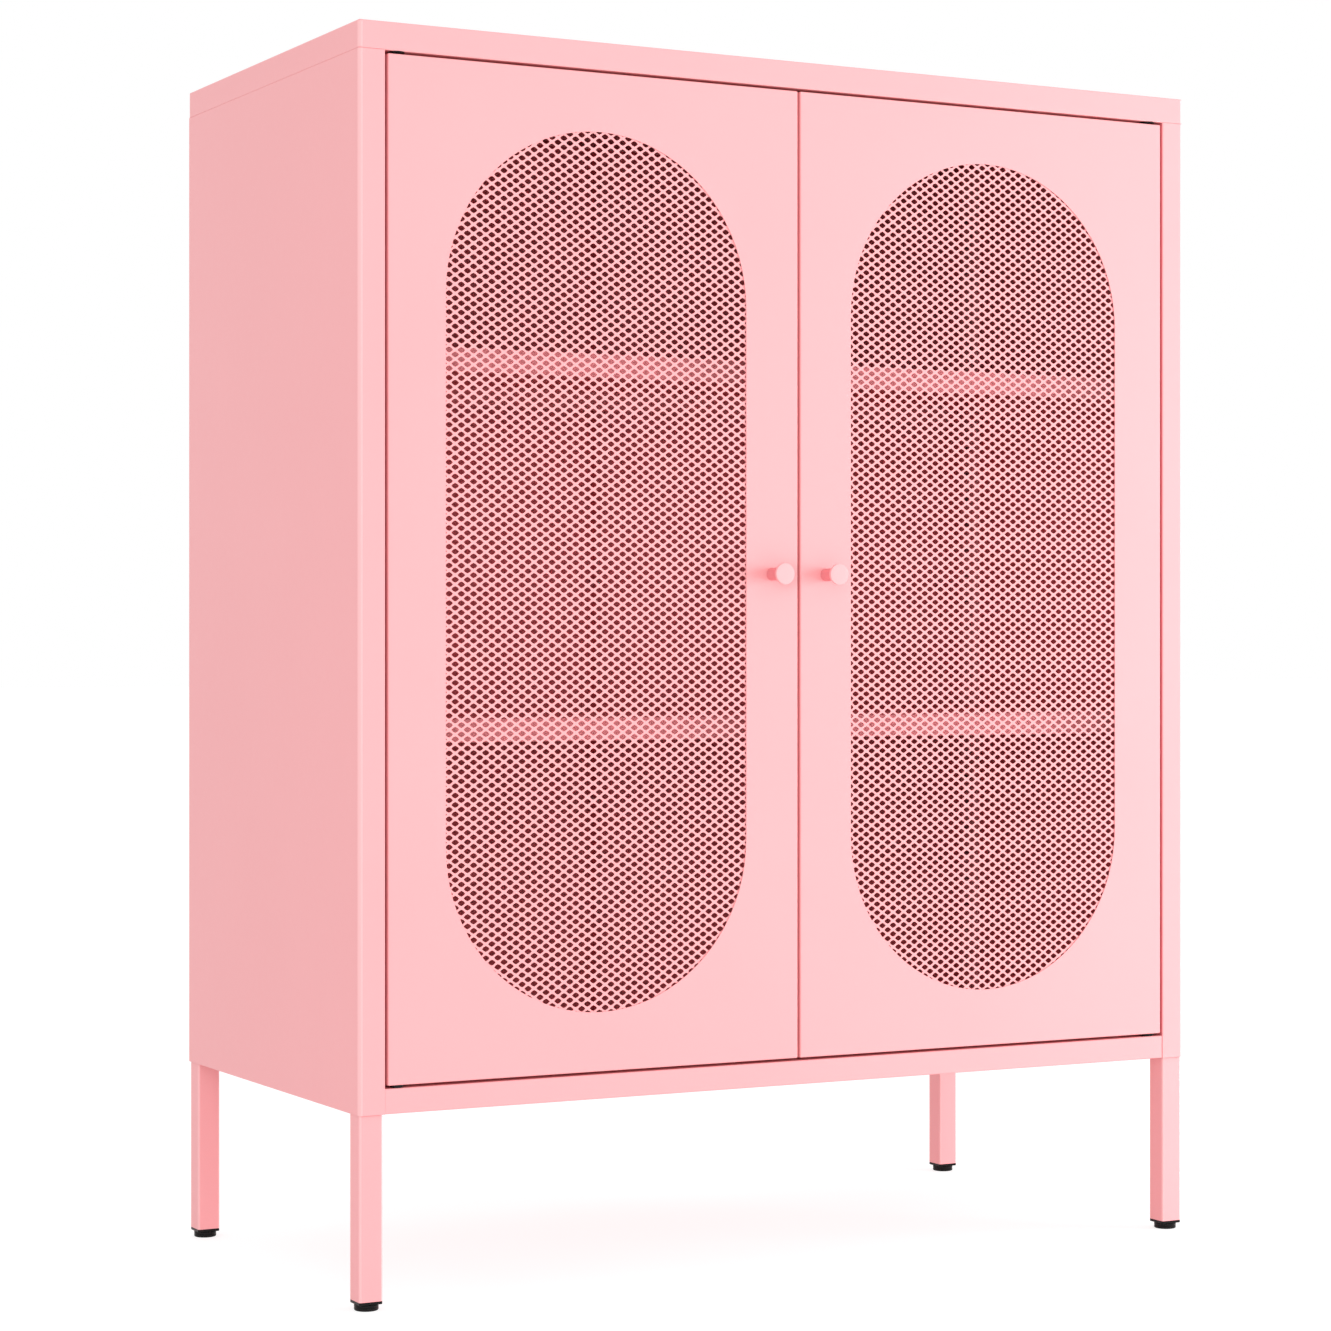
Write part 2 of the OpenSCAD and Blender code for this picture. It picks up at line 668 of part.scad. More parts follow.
module catch_screws() color(zinc) both_sides() for (x = [-1, 1])
    translate([strike_x + x * (catch_w + ear_w) / 2, catch_y + catch_d / 2, cap_z - ear_t])
        mirror([0, 0, 1]) screw(small_screw, ear_t + sheet + small_screw_d);

// ---------- Shelves ----------

module shelf(n) color(powder_coat) difference() {
    box([shelf_x, shelf_y0, shelf_z(n)], [-shelf_x, shelf_y1, shelf_z(n) + shelf_h]);
    box([shelf_x + sheet, shelf_y0 + sheet, shelf_z(n) + sheet],
        [-shelf_x - sheet, shelf_y1 - sheet, shelf_z(n) + shelf_h - sheet]);
    box([shelf_x + sheet, shelf_y0 + shelf_hem, shelf_z(n) - eps],
        [-shelf_x - sheet, shelf_y1 - sheet, shelf_z(n) + 2 * sheet]);
}

// Bent clip: a platform under the shelf, a leg down the strip and a hook behind the slot
module shelf_clip(n, y) translate([strip_x, y + (strip_w - slot_w) / 2 + 1, slot_z(n) - clip_t / 2]) {
    w = slot_w - 2;
    translate([-hook_in, 0, 0]) cube([hook_in + clip_reach, w, clip_t]);
    translate([-hook_in, 0, 0]) cube([clip_t - hole_fit, w, clip_t + hook_rise]);
    translate([0, 0, -clip_leg]) cube([clip_t, w, clip_leg + clip_t / 2]);
}

module shelf_clips(n) color(zinc) both_sides() for (y = strip_y) shelf_clip(n, y);

// ---------- Assembly ----------

top_panel();
bottom_panel();
side_panel(LEFT);  // side_panel_left
side_panel(RIGHT);  // side_panel_right
back_panel(LEFT);  // back_panel_left
back_panel(RIGHT);  // back_panel_right
leg(LEFT, FRONT);  // leg_front_left
leg(RIGHT, FRONT);  // leg_front_right
leg(LEFT, REAR);  // leg_rear_left
leg(RIGHT, REAR);  // leg_rear_right
end_plug(LEFT, FRONT);  // end_plug_front_left
end_plug(RIGHT, FRONT);  // end_plug_front_right
end_plug(LEFT, REAR);  // end_plug_rear_left
end_plug(RIGHT, REAR);  // end_plug_rear_right
foot_pad(LEFT, FRONT);  // foot_pad_front_left
foot_pad(RIGHT, FRONT);  // foot_pad_front_right
foot_pad(LEFT, REAR);  // foot_pad_rear_left
foot_pad(RIGHT, REAR);  // foot_pad_rear_right
foot_stud(LEFT, FRONT);  // foot_stud_front_left
foot_stud(RIGHT, FRONT);  // foot_stud_front_right
foot_stud(LEFT, REAR);  // foot_stud_rear_left
foot_stud(RIGHT, REAR);  // foot_stud_rear_right
leg_bolts();
leg_nuts();
panel_screws();
panel_nuts();
back_screws();
seam_screws();
lower_pivot(LEFT);  // lower_pivot_left
lower_pivot(RIGHT);  // lower_pivot_right
upper_bush(LEFT);  // upper_bush_left
upper_bush(RIGHT);  // upper_bush_right
catch_housing(LEFT);  // catch_left
catch_housing(RIGHT);  // catch_right
catch_magnets();
catch_screws();
door(LEFT);  // door_left
mesh(LEFT);  // mesh_left
knob(LEFT);  // knob_left
knob_screw(LEFT);  // knob_screw_left
lower_bush(LEFT);  // lower_bush_left
strike_plate(LEFT);  // strike_plate_left
bolt_bracket(LEFT);  // bolt_bracket_left
bolt_spring(LEFT);  // bolt_spring_left
hinge_bolt(LEFT);  // hinge_bolt_left
door(RIGHT);  // door_right
mesh(RIGHT);  // mesh_right
knob(RIGHT);  // knob_right
knob_screw(RIGHT);  // knob_screw_right
lower_bush(RIGHT);  // lower_bush_right
strike_plate(RIGHT);  // strike_plate_right
bolt_bracket(RIGHT);  // bolt_bracket_right
bolt_spring(RIGHT);  // bolt_spring_right
hinge_bolt(RIGHT);  // hinge_bolt_right
shelf(lower_slot);  // shelf_lower
shelf(upper_slot);  // shelf_upper
shelf_clips(lower_slot);  // shelf_clips_lower
shelf_clips(upper_slot);  // shelf_clips_upper
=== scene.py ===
import json
import math

import bmesh
import bpy
from mathutils import Matrix, Vector

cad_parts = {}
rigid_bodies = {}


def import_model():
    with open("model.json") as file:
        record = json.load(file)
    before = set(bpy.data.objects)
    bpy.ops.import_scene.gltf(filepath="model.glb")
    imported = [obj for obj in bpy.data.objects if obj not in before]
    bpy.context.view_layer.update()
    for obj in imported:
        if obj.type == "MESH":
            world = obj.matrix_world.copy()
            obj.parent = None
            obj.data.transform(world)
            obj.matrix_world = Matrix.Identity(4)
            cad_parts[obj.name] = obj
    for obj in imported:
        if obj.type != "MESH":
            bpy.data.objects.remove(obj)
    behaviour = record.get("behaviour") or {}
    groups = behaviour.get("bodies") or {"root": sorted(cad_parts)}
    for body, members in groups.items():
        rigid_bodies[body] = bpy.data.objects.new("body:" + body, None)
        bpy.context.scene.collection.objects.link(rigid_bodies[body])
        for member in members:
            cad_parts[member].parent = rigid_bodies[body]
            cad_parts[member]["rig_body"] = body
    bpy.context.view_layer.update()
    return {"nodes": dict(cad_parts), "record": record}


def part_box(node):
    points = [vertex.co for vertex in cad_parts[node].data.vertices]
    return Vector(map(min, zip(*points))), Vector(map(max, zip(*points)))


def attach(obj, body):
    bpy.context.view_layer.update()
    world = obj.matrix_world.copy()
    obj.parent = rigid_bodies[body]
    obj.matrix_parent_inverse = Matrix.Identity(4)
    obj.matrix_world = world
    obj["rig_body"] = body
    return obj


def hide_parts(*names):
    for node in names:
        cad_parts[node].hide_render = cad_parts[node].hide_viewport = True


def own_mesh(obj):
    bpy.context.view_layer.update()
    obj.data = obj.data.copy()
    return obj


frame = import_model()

# ---------- Sizes, in metres ----------

MM = 0.001
SHEET = 0.8 * MM            # sheet steel
CORNER_FOLD = 3.0 * MM      # outside radius of the front corners
SIDE_FOLD = 1.1 * MM        # outside radius of the other folds
EDGE_ROUND = 0.15 * MM      # coating build-up on cut edges
LEAST_FOLD = 0.1            # edges that turn by less, in radians, are flat
SEAM = 0.15 * MM            # clearance between sheet parts that lie side by side
FLANGE_REACH = 18.0 * MM    # width of the side panels' flanges
UPPER_FLANGE_REAR = 15.6 * MM
LOWER_FLANGE_END = 69.6 * MM    # clears the legs' mounting plates
JAMB_DEPTH = 24.0 * MM      # depth of the jamb behind each stile
JAMB_LIP = 12.0 * MM
FOLDED_LIP = 16.0 * MM      # lips folded in round the cap and the tray
CAP_FRONT_LIP = 40.0 * MM
DOOR_LIP = 14.0 * MM
SHELF_HEM = 10.0 * MM
WINDOW_W = 274.4 * MM
WINDOW_H = 717.0 * MM
HOLE_PITCH_X = 10.722 * MM
HOLE_PITCH_Z = 7.474 * MM
HOLE_HALF_W = 3.4 * MM
HOLE_HALF_H = 2.4 * MM
HOLE_ROUND = 0.6            # 0.5 is a true diamond, 0.707 an ellipse
HOLE_SPREAD = 4.0 * MM      # holes run this far past the window's edge
TRAY_SET = 0.5 * MM         # setback of the tray's front and rear from the stiles
KNOB_STEM = 10.6 * MM
KNOB_RIM = 2.8 * MM
KNOB_HIGHLIGHT = 0.35            # how much of the bends' painted highlight the knob heads have
INNER_HIGHLIGHT = 0.28           # the same for shelves and knob stems, over their painted inner shade
LEG_W = 20.0 * MM
LEG_R = 1.6 * MM
TUBE_WALL = 1.2 * MM
PLATE_T = 2.0 * MM
PLUG_RIM = 2.3 * MM
PLUG_FIT = 0.1 * MM         # clearance of an end plug in its tube
STEEL_ROUND = 0.3 * MM      # softened edges of tube and plate
SPRING_WIRE = 1.0 * MM
SPRING_COILS = 8
END_COIL_RISE = 0.75 * MM

SIDES = {"left": -1, "right": 1}
ENDS = ("front", "rear")

cap_lo, cap_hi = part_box("top_panel")
tray_lo, tray_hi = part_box("bottom_panel")
door_lo, door_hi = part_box("door_left")
FRONT = cap_lo.y
BACK = cap_hi.y
TOP = cap_hi.z
CAP = cap_lo.z
FLOOR = tray_hi.z
BASE = tray_lo.z
HALF_W = cap_hi.x
STILE = HALF_W - (cap_hi.z - cap_lo.z)

# ---------- Materials ----------

HIGHLIGHT_MASK = "bend"               # face attribute: 1 on the outer bends, which get a painted highlight
# The paler tone of the painted highlight
HIGHLIGHT_TONE = (0.96, 0.50, 0.51, 1)
BEND_FACE = 0.6 * MM        # narrower faces are no main bend
SAME_WAY = 0.9999           # cosine above which two normals count as one


def new_material(name):
    material = bpy.data.materials.new(name)
    material.use_nodes = True
    return material, material.node_tree.nodes, material.node_tree.links


def noise(nodes, links, scale, detail=3.0):
    """Noise in object space, in metres, so it has one scale on every piece."""
    place = nodes.new("ShaderNodeTexCoord")
    texture = nodes.new("ShaderNodeTexNoise")
    texture.inputs["Scale"].default_value = scale
    texture.inputs["Detail"].default_value = detail
    links.new(place.outputs["Object"], texture.inputs["Vector"])
    return texture.outputs["Fac"]


def spread(nodes, links, value, low, high):
    """Maps a noise value onto a narrow range."""
    ranged = nodes.new("ShaderNodeMapRange")
    ranged.inputs["From Min"].default_value = 0.3
    ranged.inputs["From Max"].default_value = 0.7
    ranged.inputs["To Min"].default_value = low
    ranged.inputs["To Max"].default_value = high
    links.new(value, ranged.inputs["Value"])
    return ranged.outputs["Result"]


def two_tone(nodes, links, value, first, second):
    """Blends two colours by a noise value."""
    ramp = nodes.new("ShaderNodeValToRGB")
    ramp.color_ramp.elements[0].position = 0.3
    ramp.color_ramp.elements[0].color = (*first, 1)
    ramp.color_ramp.elements[1].position = 0.7
    ramp.color_ramp.elements[1].color = (*second, 1)
    links.new(value, ramp.inputs["Fac"])
    return ramp.outputs["Color"]


def bump(nodes, links, heights, strength, distance):
    """One bump node for each height field, chained."""
    normal = None
    for height in heights:
        node = nodes.new("ShaderNodeBump")
        node.inputs["Strength"].default_value = strength
        node.inputs["Distance"].default_value = distance
        links.new(height, node.inputs["Height"])
        if normal is not None:
            links.new(normal, node.inputs["Normal"])
        normal = node.outputs["Normal"]
    return normal


def powder_coat(name, first, second, roughness, specular):
    """Satin powder coat: even colour, a fine orange peel, and a painted highlight, a paler line over each
    main bend.
    """
    material, nodes, links = new_material(name)
    shader = nodes["Principled BSDF"]
    # Painted highlight: the bend attribute mixes in the paler tone
    pale = nodes.new("ShaderNodeMix")      # as a colour mix: 0 is its factor, 6 and 7 its colours
    pale.data_type = "RGBA"
    bend = nodes.new("ShaderNodeAttribute")
    bend.attribute_name = HIGHLIGHT_MASK
    links.new(bend.outputs["Fac"], pale.inputs[0])
    ground = two_tone(nodes, links, noise(nodes, links, 6.0, detail=2.0), first, second)
    links.new(ground, pale.inputs[6])
    pale.inputs[7].default_value = HIGHLIGHT_TONE
    links.new(pale.outputs[2], shader.inputs["Base Color"])
    links.new(spread(nodes, links, noise(nodes, links, 140.0), *roughness), shader.inputs["Roughness"])
    shader.inputs["Specular IOR Level"].default_value = specular
    peel = noise(nodes, links, 420.0, detail=2.0)
    grain = noise(nodes, links, 1900.0)
    normal = bump(nodes, links, [peel, grain], strength=0.1, distance=0.0002)
    links.new(normal, shader.inputs["Normal"])
    return material


def clouded(name, tones, clouds, roughness, blotches, grain, relief, metallic=0.0, specular=0.5):
    """Two close tones in soft clouds, an uneven gloss, and a fine grain of (strength, depth)."""
    material, nodes, links = new_material(name)
    shader = nodes["Principled BSDF"]
    links.new(two_tone(nodes, links, noise(nodes, links, clouds), *tones), shader.inputs["Base Color"])
    shader.inputs["Metallic"].default_value = metallic
    shader.inputs["Specular IOR Level"].default_value = specular
    links.new(spread(nodes, links, noise(nodes, links, blotches), *roughness), shader.inputs["Roughness"])
    links.new(bump(nodes, links, [noise(nodes, links, grain)], *relief), shader.inputs["Normal"])
    return material


MATERIALS = {
    "powder_coat": powder_coat("pink_powder_coat", (0.90, 0.382, 0.397), (0.91, 0.39, 0.405),
                               roughness=(0.29, 0.35), specular=0.45),
    # Slight sheen and fine mould texture
    "black_plastic": clouded("black_moulded_plastic", ((0.004, 0.004, 0.004), (0.008, 0.007, 0.007)),
                             clouds=90.0, roughness=(0.22, 0.36), blotches=260.0,
                             grain=1500.0, relief=(0.15, 0.0002), specular=0.22),
    # Bright plate with faint passivation clouds and drawing marks
    "zinc_steel": clouded("zinc_plated_steel", ((0.62, 0.64, 0.66), (0.76, 0.75, 0.70)),
                          clouds=60.0, roughness=(0.26, 0.42), blotches=300.0,
                          grain=2200.0, relief=(0.12, 0.0001), metallic=1.0),
    # Oiled steel
    "black_steel": clouded("black_oxide_steel", ((0.012, 0.012, 0.013), (0.025, 0.024, 0.024)),
                           clouds=120.0, roughness=(0.38, 0.55), blotches=500.0,
                           grain=2400.0, relief=(0.1, 0.0001), metallic=0.7),
    # Dull grey with a fine sintered grain
    "magnet": clouded("ferrite_magnet", ((0.035, 0.035, 0.037), (0.06, 0.06, 0.063)),
                      clouds=700.0, roughness=(0.5, 0.7), blotches=900.0,
                      grain=2600.0, relief=(0.3, 0.0001), metallic=0.4),
}

# Painted shade inside the cabinet and in the gaps: a matt coat in a deeper, redder pink than the outside
PAINTED_INNER_SHADE = powder_coat("pink_painted_inner_shade", (0.76, 0.195, 0.222), (0.77, 0.203, 0.23),
                         roughness=(0.62, 0.72), specular=0.08)

for part in frame["record"]["subparts"]:
    data = frame["nodes"][part["node"]].data
    data.materials.clear()
    data.materials.append(MATERIALS[part["material_slot"]])

# ---------- Mesh helpers ----------


def add_piece(name, mesh, node, slot):
    """Links a finished mesh as a piece that stands for a CAD node and rides on its body."""
    piece = bpy.data.objects.new(name, mesh)
    bpy.context.scene.collection.objects.link(piece)
    # Slot 1 carries the painted inner shade
    finishes = [MATERIALS[slot], PAINTED_INNER_SHADE]
    for index in range(1 + max(face.material_index for face in mesh.polygons)):
        if index < len(mesh.materials):
            mesh.materials[index] = finishes[index]
        else:
            mesh.materials.append(finishes[index])
    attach(piece, frame["nodes"][node]["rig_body"])
    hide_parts(node)
    return piece


def outward_normals(mesh):
    """Turns every face of a closed mesh outwards."""
    bm = bmesh.new()
    bm.from_mesh(mesh)
    bmesh.ops.recalc_face_normals(bm, faces=bm.faces)
    bm.to_mesh(mesh)
    bm.free()
    return mesh


def applied(mesh, modifiers):
    """The mesh with these modifiers applied, each given as (type, settings)."""
    carrier = bpy.data.objects.new("carrier", mesh)
    bpy.context.scene.collection.objects.link(carrier)
    for kind, settings in modifiers:
        modifier = carrier.modifiers.new(kind.lower(), kind)
        for key, value in settings.items():
            setattr(modifier, key, value)
    bpy.context.view_layer.update()
    graph = bpy.context.evaluated_depsgraph_get()
    result = bpy.data.meshes.new_from_object(carrier.evaluated_get(graph))
    bpy.data.objects.remove(carrier)
    return result


def shade(mesh, angle=35.0):
    """Smooth shading that stays crisp where faces meet at more than the angle."""
    mesh.shade_smooth()
    mesh.set_sharp_from_angle(angle=math.radians(angle))
    return mesh


SMOOTH_FLATS = ("WEIGHTED_NORMAL", {"keep_sharp": True, "weight": 60})


def rounded_solid(mesh, width, segments=2):
    """A closed solid with every sharp edge slightly rounded."""
    mesh = applied(mesh, [("BEVEL", {"width": width, "segments": segments, "limit_method": "ANGLE",
                                     "angle_limit": math.radians(30)})])
    return applied(shade(mesh), [SMOOTH_FLATS])


def mark_bend_highlights(mesh, flats):
    """Marks the faces of wide bends, whose normals are none of the flats', for the painted highlight."""
    values = []
    for face in mesh.polygons:
        bend = all(face.normal.dot(n) < SAME_WAY for n in flats)
        sides = sorted((mesh.vertices[a].co - mesh.vertices[b].co).length for a, b in face.edge_keys)
        values.append(1.0 if bend and sides[0] > BEND_FACE else 0.0)
    mesh.attributes.new(HIGHLIGHT_MASK, "FLOAT", "FACE").data.foreach_set("value", values)


def mark_corner_highlights(mesh):
    """Marks the round upright corners of a square tube for the painted highlight."""
    values = []
    for face in mesh.polygons:
        x, y, z = (abs(c) for c in face.normal)
        values.append(1.0 if z < 0.3 and min(x, y) > 0.1 else 0.0)
    mesh.attributes.new(HIGHLIGHT_MASK, "FLOAT", "FACE").data.foreach_set("value", values)
    return mesh


def near(a, b):
    """Whether two lengths in metres are the same."""
    return abs(a - b) < 1e-5


def joined_flats(faces, holes):
    """Flat faces that share the corners where they meet, and flats that have an opening."""
    bm = bmesh.new()
    found = {}

    def vertex(point):
        key = tuple(round(c * 1e6) for c in point)
        if key not in found:
            found[key] = bm.verts.new(point)
        return found[key]

    for corners in faces:
        bm.faces.new([vertex(p) for p in corners])
    for outer, inner in holes:
        edges = []
        for loop in (outer, inner):
            ring = [vertex(p) for p in loop]
            for a, b in zip(ring, ring[1:] + ring[:1]):
                edges.append(bm.edges.get((a, b)) or bm.edges.new((a, b)))
        bmesh.ops.triangle_fill(bm, use_beauty=True, use_dissolve=False, edges=edges)
    return bm


def face_outwards(bm, spot, direction):
    """Turns all the faces so that the one nearest the spot faces in the direction."""
    bmesh.ops.recalc_face_normals(bm, faces=bm.faces)
    face = min(bm.faces, key=lambda f: (f.calc_center_median() - Vector(spot)).length)
    if face.normal.dot(Vector(direction)) < 0:
        bmesh.ops.reverse_faces(bm, faces=bm.faces)


def weigh_folds(bm, folds):
    """Gives each folded edge its radius, as a share of the widest."""
    weight = bm.edges.layers.float.new("bevel_weight_edge")
    for edge in bm.edges:
        if len(edge.link_faces) == 2 and edge.calc_face_angle(0) > LEAST_FOLD:
            a, b = (v.co for v in edge.verts)
            edge[weight] = folds((a + b) / 2, b - a) / CORNER_FOLD


def folded_sheet(faces, folds, outward, holes=()):
    """A folded sheet-metal part. faces lists the corners of each flat, on the outer skin.
    folds gives each edge's outside radius from its middle and direction. outward is a
    point test: (a point on a flat, the direction that its outer side faces). holes lists
    (outer corners, inner loop) flats that have an opening."""
    bm = joined_flats(faces, holes)
    face_outwards(bm, *outward)
    flats = [f.normal.copy() for f in bm.faces]
    weigh_folds(bm, folds)
    mesh = bpy.data.meshes.new("sheet")
    bm.to_mesh(mesh)
    bm.free()
    mesh = applied(mesh, [("BEVEL", {"width": CORNER_FOLD, "segments": 5, "limit_method": "WEIGHT",
                                     "profile": 0.5})])
    # Wide bends get the painted highlight
    mark_bend_highlights(mesh, flats)
    for _ in range(2):          # slot 0 is the outer coat, and slot 1 the painted shade on the inner skin
        mesh.materials.append(None)
    mesh = applied(mesh, [("SOLIDIFY", {"thickness": SHEET, "offset": -1.0, "use_even_offset": True,
                                        "material_offset": 1})])
    mesh = applied(mesh, [("BEVEL", {"width": EDGE_ROUND, "segments": 1, "limit_method": "ANGLE",
                                     "angle_limit": math.radians(50)})])
    return applied(shade(mesh), [SMOOTH_FLATS])


def even_fold(middle, direction):
    return SIDE_FOLD


def rectangle(x, y, z):
    """Corners of a rectangle: one of x, y and z is a number, the others are (low, high)."""
    spans = [v if isinstance(v, tuple) else (v, v) for v in (x, y, z)]
    fixed = [i for i, v in enumerate((x, y, z)) if not isinstance(v, tuple)][0]
    a, b = [i for i in range(3) if i != fixed]
    corners = []
    for i, j in ((0, 0), (1, 0), (1, 1), (0, 1)):
        point = [spans[0][0], spans[1][0], spans[2][0]]
        point[a] = spans[a][i]
        point[b] = spans[b][j]
        corners.append(tuple(point))
    return corners


def mirrored(points, side):
    """Points drawn for the left, carried to the right when side is 1."""
    return [(p[0] * -side, p[1], p[2]) for p in points]


def join_meshes(meshes):
    """Several meshes as one, such as parts welded together."""
    bm = bmesh.new()
    for mesh in meshes:
        bm.from_mesh(mesh)
    joined = bpy.data.meshes.new("joined")
    bm.to_mesh(joined)
    bm.free()
    return joined


def prism(outline, low, high):
    """A closed prism over a plan outline."""
    count = len(outline)
    verts = [(x, y, z) for z in (low, high) for x, y in outline]
    faces = [list(range(count))[::-1], list(range(count, 2 * count))]
    faces += [[i, (i + 1) % count, (i + 1) % count + count, i + count] for i in range(count)]
    mesh = bpy.data.meshes.new("prism")
    mesh.from_pydata(verts, [], faces)
    return mesh


def round_square(cx, cy, w, d, r, steps=6):
    """Plan outline of a rectangle with round corners."""
    points = []
    for corner, (sx, sy) in enumerate(((1, 1), (-1, 1), (-1, -1), (1, -1))):
        for k in range(steps + 1):
            a = math.radians(90 * corner + 90 * k / steps)
            x, y = cx + sx * (w / 2 - r), cy + sy * (d / 2 - r)
            points.append((x + r * math.cos(a), y + r * math.sin(a)))
    return points


def lathe(profile, steps=64):
    """A closed solid turned about Z. profile runs from axis to axis as (radius, height)."""
    verts = []
    rings = []
    for r, z in profile:
        if r < 1e-9:
            rings.append([len(verts)])
            verts.append((0, 0, z))
        else:
            rings.append(list(range(len(verts), len(verts) + steps)))
            turns = [2 * math.pi * k / steps for k in range(steps)]
            verts += [(r * math.cos(a), r * math.sin(a), z) for a in turns]
    faces = []
    for low, high in zip(rings, rings[1:]):
        for k in range(steps):
            n = (k + 1) % steps
            if len(low) == 1:
                faces.append([low[0], high[n], high[k]])
            elif len(high) == 1:
                faces.append([low[k], low[n], high[0]])
            else:
                faces.append([low[k], low[n], high[n], high[k]])
    mesh = bpy.data.meshes.new("lathe")
    mesh.from_pydata(verts, [], faces)
    return outward_normals(mesh)


def arc(cx, cz, r, start, end, steps=8):
    """Points of a circular arc, in degrees, as (radius, height)."""
    return [(cx + r * math.cos(math.radians(start + (end - start) * k / steps)),
             cz + r * math.sin(math.radians(start + (end - start) * k / steps))) for k in range(steps + 1)]


# ---------- Sheet-metal body ----------


def top_cap():
    """Shallow box open below, with lips folded in all round."""
    x, y, z = (-HALF_W, HALF_W), (FRONT, BACK), (CAP, TOP)
    inner_x = HALF_W - FOLDED_LIP
    inner = rectangle((-inner_x, inner_x), (FRONT + CAP_FRONT_LIP, BACK - FOLDED_LIP), CAP)
    outer = rectangle(x, y, CAP)
    faces = [rectangle(x, y, TOP)]
    faces += [rectangle(x, place, z) for place in (FRONT, BACK)]
    faces += [rectangle(place, y, z) for place in (-HALF_W, HALF_W)]
    faces += [[outer[i], outer[(i + 1) % 4], inner[(i + 1) % 4], inner[i]] for i in range(4)]

    def folds(middle, direction):
        if abs(direction.z) > 0.5 * direction.length:
            return CORNER_FOLD
        return SIDE_FOLD if near(middle.z, TOP) or near(middle.z, CAP) else 0

    return folded_sheet(faces, folds, ((0, 0, TOP), (0, 0, 1)))


def side_panel(side):
    """Skin folded round the front stile and its jamb, with slotted strips and flanges inside."""
    jamb = FRONT + JAMB_DEPTH
    z = (FLOOR, CAP)
    skirt = (BASE, FLOOR)
    faces = []
    for span in (z, skirt):
        faces.append(rectangle(-HALF_W, (FRONT, BACK), span))
        faces += [rectangle((-HALF_W, -STILE), place, span) for place in (FRONT, BACK)]
    faces += [rectangle(-STILE, (FRONT, jamb), z), rectangle((-STILE - JAMB_LIP, -STILE), jamb, z)]
    faces = [mirrored(f, side) for f in faces]

    def folds(middle, direction):
        if near(abs(middle.x), HALF_W) and near(middle.y, FRONT):
            return CORNER_FOLD
        return SIDE_FOLD

    spot = (side * HALF_W, (FRONT + BACK) / 2, (FLOOR + CAP) / 2)
    shell = folded_sheet(faces, folds, (spot, (side, 0, 0)))
    for face in shell.polygons:     # the jamb that faces the door gets the painted inner shade, darkening the gap
        if near(abs(face.center.x), STILE) and face.normal.x * side < -0.9:
            face.material_index = 1
    return join_meshes([shell] + [slotted_strip(side, low) for low in strip_places()] + flanges(side))


STRIP_W = 24.0 * MM
STRIP_DEPTH = 5.0 * MM
STRIP_FRONT = 45.0 * MM     # front strip behind the door faces
STRIP_REAR = 36.0 * MM      # rear strip ahead of the back
SLOT_PITCH = 25.0 * MM
SLOT_W = 12.0 * MM
SLOT_H = 3.4 * MM
SLOT_END = 45.0 * MM        # plain length at each end of a strip


def strip_places():
    """Where the two slotted strips of a side panel start, from front to back."""
    return [FRONT + STRIP_FRONT, BACK - STRIP_REAR - STRIP_W]


def slotted_strip(side, low):
    """Hat section with a row of slots for the shelf clips."""
    wall = -HALF_W + SHEET
    strip_x = wall + STRIP_DEPTH
    first = FLOOR + SLOT_END
    count = int((CAP - FLOOR - 2 * SLOT_END) / SLOT_PITCH) + 1
    z = (FLOOR, CAP - SHEET)
    y = (low, low + STRIP_W)
    middle = low + STRIP_W / 2
    edges = [z[0]]
    for n in range(count):
        slot = first + n * SLOT_PITCH
        edges += [slot - SLOT_H / 2, slot + SLOT_H / 2]
    edges.append(z[1])
    rows = list(zip(edges, edges[1:]))
    bounds = [y[0], middle - SLOT_W / 2, middle + SLOT_W / 2, y[1]]
    columns = list(zip(bounds, bounds[1:]))
    face = []
    for index, row in enumerate(rows):
        is_slot_row = index % 2 == 1
        for column in columns:
            if not (is_slot_row and column is columns[1]):
                face.append(rectangle(strip_x, column, row))
    flanks = [rectangle((wall, strip_x), place, row) for row in rows for place in y]
    faces = [mirrored(f, side) for f in face + flanks]
    spot = (side * -strip_x, y[0] + 1 * MM, z[0] + 20 * MM)     # on the plain end of its face
    return folded_sheet(faces, even_fold, (spot, (-side, 0, 0)))


def flanges(side):
    """Flat flanges at the top and at the floor, where the panel screws go."""
    x = (-HALF_W + SHEET, -HALF_W + FLANGE_REACH)
    upper = (FRONT + JAMB_DEPTH, BACK - UPPER_FLANGE_REAR)
    lower = (FRONT + LOWER_FLANGE_END, BACK - LOWER_FLANGE_END)
    return [plate(x, upper, (CAP - SHEET, CAP), side),
            plate(x, lower, (FLOOR - 2 * SHEET, FLOOR - SHEET), side)]


def plate(x, y, z, side=-1):
    """A flat plate with slightly rounded edges."""
    outline = [(x[0], y[0]), (x[1], y[0]), (x[1], y[1]), (x[0], y[1])]
    if side == 1:
        outline = [(-px, py) for px, py in outline][::-1]
    return rounded_solid(prism(outline, *z), EDGE_ROUND, 1)


def base_tray():
    """Floor with folded front and rear rails, and a flat wing at each side."""
    edge = STILE - SEAM
    x = (-edge, edge)
    front, back = FRONT + TRAY_SET, BACK - TRAY_SET
    faces = [rectangle(x, (front, back), FLOOR)]
    for y, inward in ((front, FOLDED_LIP), (back, -FOLDED_LIP)):
        faces += [rectangle(x, y, (BASE, FLOOR)), rectangle(x, tuple(sorted((y, y + inward))), BASE)]
    tray = folded_sheet(faces, even_fold, ((0, 0, FLOOR), (0, 0, 1)))
    wide = HALF_W - SHEET - SEAM
    inset = SHEET + SEAM
    wings = [plate((-wide, -edge + SHEET), (FRONT + inset, BACK - inset), (FLOOR - SHEET, FLOOR), side)
             for side in (-1, 1)]
    return join_meshes([tray] + wings)


